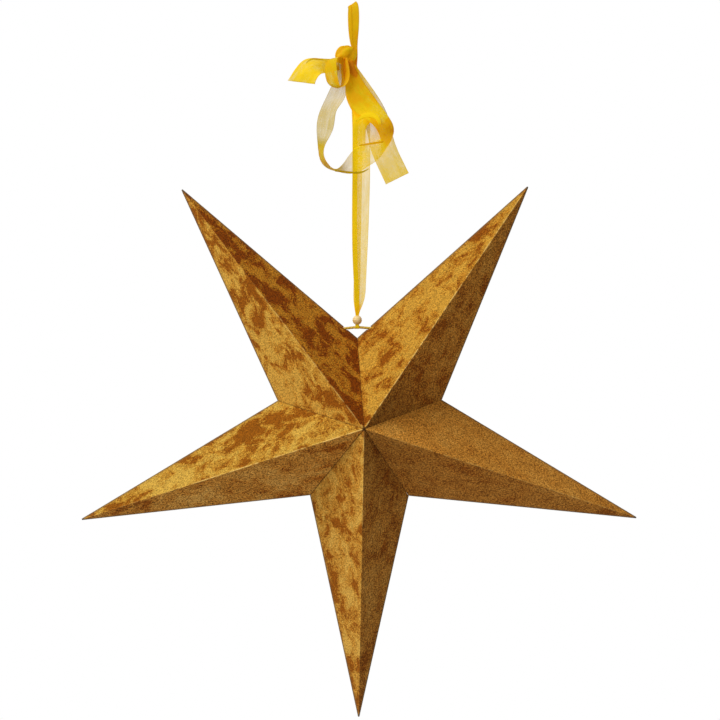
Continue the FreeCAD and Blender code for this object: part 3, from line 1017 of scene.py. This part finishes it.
@dataclass
class OrganzaBow:
    """The whole ribbon: hanging loop, knot, bow, tails, strands and the eye round the cord."""

    skin: float = 0.25 * MM
    seed_step: float = 11.0
    knot: Knot = field(default_factory=Knot)
    bead_top: Vector = field(default_factory=lambda: Vector((1.43, 0.0, -338.0)) * MM)
    cord_middle: Vector = field(default_factory=lambda: Vector((1.43, 0.0, -350.2)) * MM)
    eye_radius: float = 2.05 * MM

    @staticmethod
    def _folded_over(stations: Sequence[Station]) -> Run:
        """A part of the ribbon that lies folded over on another part."""
        return Run(stations, crinkle=0.3 * MM, counted=False, steps_across=8)

    def _tails(self) -> list[Run]:
        """The two cut ends that hang from the knot."""
        left = Run(LEFT_TAIL, richness=0.7, crinkle=0.9 * MM)
        return [left, self._folded_over(LEFT_HEM), Run(RIGHT_TAIL, crinkle=0.7 * MM)]

    def _bow(self) -> list[Run]:
        """The large bow loop with its folded-over parts, and the small loop beside it."""
        folded = [self._folded_over(part) for part in (ARCH, FRONT_FOLD, INNER_HEM, LOW_HEM)]
        return [Run(LARGE_LOOP, crinkle=0.7 * MM), *folded, Run(SMALL_LOOP)]

    def _hanging_loop(self) -> Run:
        """The gathered loop over the hook: up in front and down behind."""
        half = LOOP_HALF_GAP / LOOP_DROP
        front = path(
            (-0.02, -0.1 * half, -1.49, 1, 0, 0, 0.15, 7.5),
            (-0.012, -0.15 * half, -1.2, 1, 0, 0, 0.18, 7),
            (-0.035, -0.25 * half, -1.03, 1, 0, 0, 0.25, 4.4),
            (-0.05, -0.75 * half, -0.8, 1, 0, 0.05, 0.35, 3.8),
            (-0.053, -half, -0.5, 1, 0, 0.1, 0.43, 3.4),
            (-0.06, -0.75 * half, -0.17, 1, 0, 0.3, 0.44, 3.4),
            (-0.075, -0.4 * half, -0.08, 1, 0, 0.6, 0.42, 3.6),
        )
        top = Station((-0.092, 0.0, -0.048), (1.0, 0.0, 0.76), 0.4, 3.8)
        back = [replace(one, place=(one.place[0], -one.place[1], one.place[2])) for one in front]
        stations = [*front, top, *reversed(back)]
        folds = (-0.35, -1.0, 1.0, -1.0)
        return Run(stations, Vector(), LOOP_DROP, folds, 0.35 * MM, 0.88, 0.3 * MM, steps_across=42)

    def _strands(self) -> list[Run]:
        """The strands from the knot to the bead: one bunched up, one spread flat."""
        start = Vector((0.0, 0.0, KNOT_CENTRE.z - 7.5 * MM))
        drop = start.z - self.bead_top.z
        side = LOOP_HALF_GAP / drop
        low = self.bead_top.x / drop
        bunched = path(
            (-1.5 * side, -0.003, 0, 1, 0, 0, 0.2, 4, 0.6),
            (-0.9 * side, -0.004, -0.1, 1, 0, 0, 0.2, 3.4, 0.6),
            (-0.3 * side, -0.004, -0.2, 1, 0, 0, 0.2, 3.2, 0.6),
            (-0.25 * side, -0.004, -0.7, 1, 0, 0, 0.2, 3.2, 0.6),
            (0.2 * side, -0.0035, -0.93, 1, 0, 0, 0.18, 3.4, 0.5, 1.15),
            (low, -0.002, -0.985, 1, 0, 0, 0.15, 4.5, 0.5, 1.1),
            (low, -0.0015, -1, 1, 0, 0, 0.12, 5, 0.5, 1),
        )
        spread = path(
            (-0.6 * side, 0.0035, 0, 1, 0, 0, 0.3, 3, 0.6),
            (0, 0.004, -0.06, 1, 0, 0, 0.45, 2.2, 0.6),
            (0.85 * side, 0.004, -0.15, 1, 0, 0, 0.63, 1.4, 0.6),
            (0.9 * side, 0.004, -0.66, 1, 0, 0, 0.63, 1.4, 0.6),
            (0.85 * side, 0.004, -0.75, 1, 0, 0, 0.57, 1.5, 0.6),
            (0.75 * side, 0.004, -0.87, 1, 0, 0, 0.5, 1.6, 0.6),
            (0.55 * side, 0.003, -0.94, 1, 0, 0, 0.42, 2, 0.6),
            (1.1 * low, 0.002, -0.985, 1, 0, 0, 0.185, 4, 0.6),
            (low, 0.001, -1, 1, 0, 0, 0.13, 5, 0.6),
        )
        pleated = (-1.0, 1.0, -1.0, 1.0, -1.0, 1.0)
        doubled = (0.05, -1.0, 1.0)
        return [
            Run(bunched, start, drop, pleated, 0.45 * MM, 0.62, 0.25 * MM, steps_across=50),
            Run(spread, start, drop, doubled, 0.6 * MM, 0.9, 0.6 * MM, steps_across=31),
        ]

    def _eye(self) -> Run:
        """The end that comes out under the bead and goes round the cord."""
        flat = (1.0, 0.0, 0.0)
        turns = [math.radians(angle) for angle in (40, 85, 130, 180, 230, 275, 320)]
        ring = [Station((0.0, math.sin(one), math.cos(one)), flat, 0.16, 2.0) for one in turns]
        ends = [Station((0.0, side * 0.15, 2.2), flat, 0.12, 4.0) for side in (1.0, -1.0)]
        fine = {"crinkle": 0.05 * MM, "steps_across": 8, "step_along": 0.5 * MM}
        return Run([ends[0], *ring, ends[1]], self.cord_middle, self.eye_radius, **fine)

    def build(self) -> bpy.types.Object:
        """Returns:
            The ribbon's object.
        """
        cloth = Cloth()
        runs = [self._hanging_loop(), *self._tails(), *self._bow(), *self._strands(), self._eye()]
        length = sum(run.build(cloth, self.seed_step * number) for number, run in enumerate(runs))
        cloth.thicken(self.skin)
        self.knot.build(cloth)
        ribbon = object_of("organza_ribbon", cloth.mesh, Organza().dress())
        for polygon in ribbon.data.polygons:
            polygon.use_smooth = True
        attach(ribbon, "root")
        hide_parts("ribbon")
        LOG.info("organza_ribbon: %d faces, %.3f m long", len(ribbon.data.polygons), length)
        return ribbon


@dataclass
class FoldedStar:
    """The five folded velvet points with the cord and the bead that hold them."""

    velvet: CrushedVelvet = field(default_factory=CrushedVelvet)

    def _points(self) -> list[FoldedPoint]:
        """The five points, counter-clockwise from the upper right."""
        right, top, left = Valley(17.1, 0.15), Valley(92.3, 0.35), Valley(163.6, 0.45)
        low_left, low_right = Valley(234.1, 0.6), Valley(304.1, 0.45)
        # The piles' multipliers and centre figures hold painted light and shade, facet by facet.
        return [
            FoldedPoint("arm_upper_right", 54.9, (right, top), 0.995, RubAndHighlight(0.03, 0.9, 0.75),
                        Pile(0.66, 0.62, (1.02, 0.88, 0.86), 0.82, 0.55),
                        Pile(0.38, 1.45, (0.95, 0.85, 0.52), 0.54), 1.3),
            FoldedPoint("arm_upper_left", 127.2, (top, left), 1.005, RubAndHighlight(0.0, 0.5, 0.45),
                        Pile(0.92, 2.3, (0.84, 0.6, 0.22), 0.76),
                        Pile(0.46, 1.7, (1.16, 1.11, 0.92), 0.52), 5.1),
            FoldedPoint("arm_lower_left", 198.6, (left, low_left), 1.0, RubAndHighlight(0.0, 0.55, 0.9),
                        Pile(0.44, 1.38, (1.02, 1.06, 0.88), 0.53),
                        Pile(0.56, 0.72, (1.03, 0.95, 1.1), 0.8), 9.7),
            FoldedPoint("arm_bottom", 269.6, (low_left, low_right), 0.999, RubAndHighlight(0.0, 0.3, 0.3),
                        Pile(0.5, 1.25, (1.16, 1.13, 1.08), 0.47),
                        Pile(0.63, 0.52, (0.91, 0.81, 0.88), 0.76, 0.72), 13.9),
            # Its upper facet is painted lighter near the centre, against the lamp's cast shadow
            # there.
            FoldedPoint("arm_lower_right", 341.3, (low_right, right), 1.001, RubAndHighlight(0.1, 0.9, 0.25),
                        Pile(0.6, 0.33, (0.92, 0.79, 0.88), 0.73, 0.82),
                        Pile(0.5, 0.3, (1.15, 1.02, 1.04), 0.66, 1.15), 17.2),
        ]

    def dress(self, nodes: dict[str, bpy.types.Object]) -> None:
        """Gives the card, the cord and the bead their finishes.

        Args:
            nodes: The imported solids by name.
        """
        finishes = {point.node: self.velvet.dress(point) for point in self._points()}
        finishes["tie_cord"] = TwistedYarn().dress()
        finishes["bead"] = PaleWood().dress()
        for name, material in finishes.items():
            nodes[name].data.materials.clear()
            nodes[name].data.materials.append(material)
            LOG.info("%s: dressed in %s", name, material.name)


@dataclass(frozen=True)
class Stand:
    """Where a lamp or the camera stands, seen from what it faces.

    Attributes:
        azimuth: Its angle to the right of the front, in degrees.
        elevation: Its angle above the level, in degrees.
        distance: How far away it is, in metres.
    """

    azimuth: float
    elevation: float
    distance: float

    def put(self, name: str, data: Any, aim: Vector) -> bpy.types.Object:
        """Puts a lamp or camera there.

        Args:
            name: The object's name.
            data: The lamp or camera.
            aim: The point that it faces.

        Returns:
            The object.
        """
        turn, rise = math.radians(self.azimuth), math.radians(self.elevation)
        level = math.cos(rise)
        away = Vector((math.sin(turn) * level, -math.cos(turn) * level, math.sin(rise)))
        made = put_in_scene(name, data)
        made.location = aim + away * self.distance
        made.rotation_euler = (-away).to_track_quat("-Z", "Y").to_euler()
        return made


@dataclass(frozen=True)
class Softbox:
    """A square lamp that faces the star."""

    name: str
    stand: Stand
    size: float
    power: float

    def build(self, aim: Vector) -> None:
        """Adds the lamp.

        Args:
            aim: The point that it faces.
        """
        lamp = bpy.data.lights.new(self.name, "AREA")
        lamp.shape = "SQUARE"
        lamp.size = self.size
        lamp.energy = self.power
        self.stand.put(self.name, lamp, aim)


@dataclass(frozen=True)
class Camera:
    """The camera, at the photograph's angle, with its sensor in millimetres."""

    aim: Vector = field(default_factory=lambda: Vector((4.4, 0.0, -385.8)) * MM)
    stand: Stand = Stand(-2.4, 0.8, 2.0)
    focal_pixels: float = 1851.2
    picture: float = 720.0
    sensor: float = 36.0
    clip: tuple[float, float] = (0.05, 50.0)

    def build(self) -> None:
        """Adds the camera and makes it the scene's own."""
        lens = bpy.data.cameras.new("camera")
        lens.sensor_width = self.sensor
        lens.lens = self.focal_pixels / self.picture * self.sensor
        lens.clip_start, lens.clip_end = self.clip
        bpy.context.scene.camera = self.stand.put("camera", lens, self.aim)


@dataclass(frozen=True)
class Studio:
    """The pale floor, the white backdrop, the lamps and the camera."""

    floor_drop: float = 1.05
    floor_radius: float = 1.2
    floor_colour: Colour = (0.82, 0.82, 0.81)
    ambient: float = 0.30
    white: Colour = (1.0, 1.0, 1.0)
    camera: Camera = field(default_factory=Camera)
    lamps: Sequence[Softbox] = (Softbox("key_lamp", Stand(-51.0, 42.0, 2.6), 1.8, 52.0),)

    def _world(self) -> None:
        """A backdrop that looks white and lights the object softly."""
        world = bpy.data.worlds.new("studio")
        bpy.context.scene.world = world
        graph = Graph(world, "ShaderNodeOutputWorld")
        ray = graph.node("ShaderNodeLightPath")
        seen = ray.value("Is Camera Ray").higher_of(ray.value("Is Glossy Ray"))
        seen = seen.higher_of(ray.value("Is Transmission Ray"))
        light = {"Color": self.white, "Strength": self.ambient}
        soft = graph.node("ShaderNodeBackground", light).out()
        plain = graph.node("ShaderNodeBackground", {"Color": self.white}).out()
        graph.finish(graph.node("ShaderNodeMixShader", {0: seen, 1: soft, 2: plain}).out())

    def _floor(self) -> None:
        """A round pale floor well below the star."""
        mesh = bmesh.new()
        bmesh.ops.create_circle(mesh, cap_ends=True, segments=96, radius=self.floor_radius)
        bmesh.ops.translate(mesh, verts=mesh.verts[:], vec=(0.0, 0.0, -self.floor_drop))
        pale = Finish("pale_floor").surface(Base_Color=self.floor_colour, Roughness=0.8)
        floor = object_of("studio_floor", mesh, pale)

    def build(self) -> None:
        """Sets up everything round the object."""
        bpy.context.scene.view_settings.view_transform = "Standard"
        self._world()
        self._floor()
        for lamp in self.lamps:
            lamp.build(STAR_CENTRE)
        self.camera.build()
        LOG.info("studio: %d lamp(s), floor %.2f m down", len(self.lamps), self.floor_drop)


def main() -> None:
    """Builds and dresses the star, its ribbon and the studio in order."""
    logging.basicConfig(level=logging.INFO, format="%(name)s: %(message)s")
    Studio().build()
    FoldedStar().dress(frame["nodes"])
    OrganzaBow().build()


if __name__ == "__main__":
    main()
